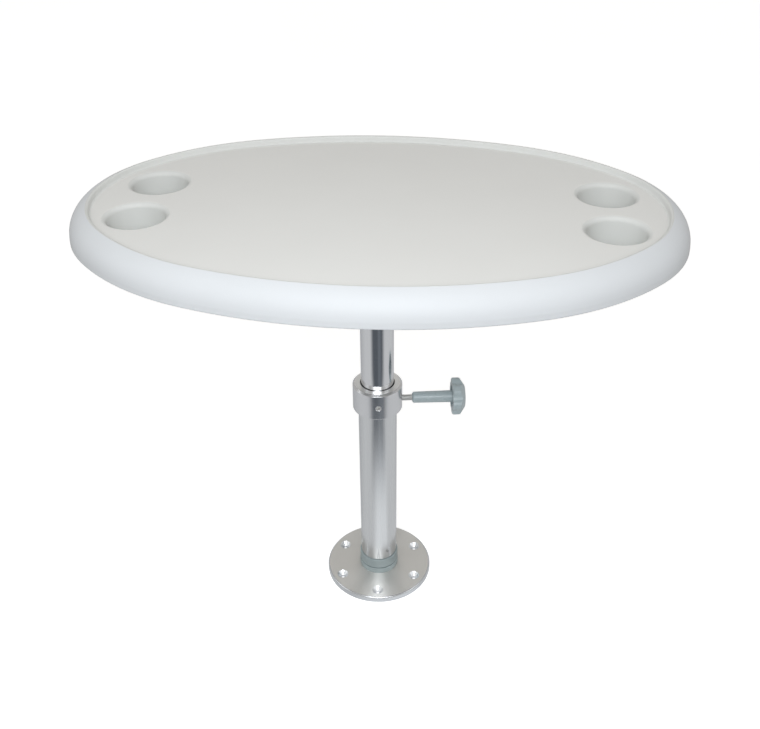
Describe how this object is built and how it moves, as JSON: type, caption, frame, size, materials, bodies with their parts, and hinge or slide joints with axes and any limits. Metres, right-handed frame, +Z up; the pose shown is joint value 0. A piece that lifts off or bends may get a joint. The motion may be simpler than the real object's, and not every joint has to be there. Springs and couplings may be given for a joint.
{
  "type": "single pole camper table",
  "caption": "Oval white table top with a raised rim and cup wells on a telescopic aluminium pole, height set by a clamp collar and lobed knob, on a round bolt-down base.",
  "frame": {"origin": "centre of the base flange's underside, on the pole's axis", "axes": "+Z up along the pole, +X along the long axis of the oval top, -Y towards the front"},
  "size_m": [0.8446, 0.5514, 0.6929],
  "materials": {
    "table_plastic": "satin, lightly grained white moulding",
    "post_aluminium": "bright anodised tube with fine drawn lines",
    "tube_aluminium": "satin anodised tube with fine drawn lines",
    "collar_aluminium": "turned and polished",
    "base_aluminium": "brushed face with a bright turned edge",
    "mount_aluminium": "cast, satin",
    "grey_plastic": "blue-grey moulded nylon",
    "knob_plastic": "blue-grey moulded nylon with a slight sheen",
    "guide_plastic": "dark acetal",
    "pad_plastic": "natural nylon",
    "screw_steel": "stainless"
  },
  "bodies": {
    "pedestal": {"base_flange": "base_aluminium", "base_bush": "grey_plastic", "foot_bush": "grey_plastic", "foot_screws": "screw_steel", "lower_tube": "tube_aluminium", "clamp_collar": "collar_aluminium", "collar_screws": "screw_steel", "guide_sleeve": "guide_plastic"},
    "guide": {"post_guide": "guide_plastic"},
    "table": {"upper_post": "post_aluminium", "post_plug": "guide_plastic", "table_mount": "mount_aluminium", "mount_set_screws": "screw_steel", "mount_screws": "screw_steel", "tabletop": "table_plastic"},
    "pad": {"clamp_pad": "pad_plastic"},
    "knob": {"clamp_knob": "knob_plastic", "clamp_screw": "screw_steel"}
  },
  "joints": [
    {"name": "post_slide", "type": "slide", "parent": "pedestal", "child": "guide", "axis": [0, 0, 1], "range_m": [-0.195, 0.024]},
    {"name": "table_turn", "type": "hinge", "parent": "guide", "child": "table", "pos_m": [0, 0, 0.3], "axis": [0, 0, 1], "continuous": true},
    {"name": "clamp_pad_slide", "type": "slide", "parent": "pedestal", "child": "pad", "axis": [0.9919, 0.1271, 0], "range_m": [0, 0.003]},
    {"name": "knob_turn", "type": "hinge", "parent": "pad", "child": "knob", "pos_m": [0, 0, 0.3593], "axis": [0.9919, 0.1271, 0], "range_deg": [0, 720]}
  ],
  "couplings": [
    {"joint": "clamp_pad_slide", "follows": "knob_turn", "m_per_rad": 0.00023873}
  ]
}
